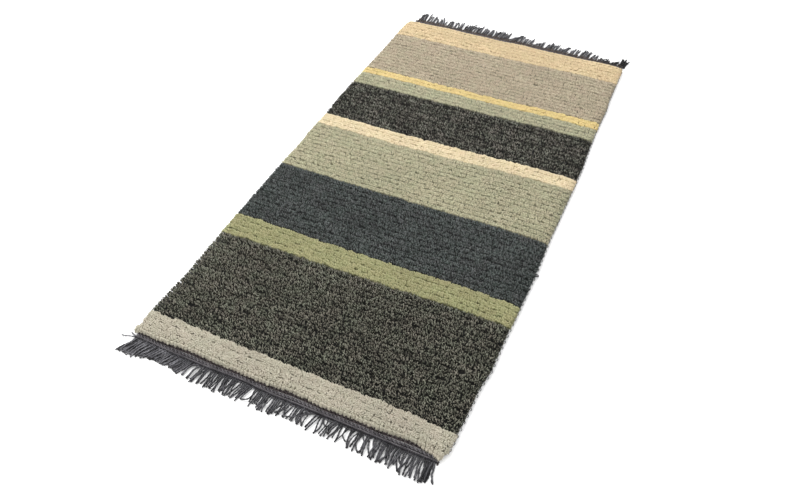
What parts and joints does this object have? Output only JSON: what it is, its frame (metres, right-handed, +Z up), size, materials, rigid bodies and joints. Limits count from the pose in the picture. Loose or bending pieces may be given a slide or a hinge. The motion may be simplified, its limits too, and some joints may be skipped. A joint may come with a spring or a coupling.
{
  "type": "nepalese rug",
  "caption": "Flat hand-knotted wool rug with plain stripes across it, a dark woven web at each end and a fringe of cut warp ends.",
  "frame": {"origin": "on the flat underside, at the middle of the pile", "axes": "+X across the rug to its right, +Y along it from the near fringe to the far fringe, +Z up out of the pile"},
  "size_m": [0.731, 1.5111, 0.0169],
  "materials": {
    "wool_pile": "short upright wool pile, matt, in plain stripes of sand, taupe, yellow, sage, charcoal, cream, slate blue, olive and beige",
    "cotton_web": "tightly twined dark cotton, matt",
    "cotton_fringe": "plied dark grey cotton yarn, matt"
  },
  "bodies": {
    "root": {"pile": "wool_pile", "web_near": "cotton_web", "web_far": "cotton_web", "fringe_near": "cotton_fringe", "fringe_far": "cotton_fringe"}
  },
  "joints": []
}
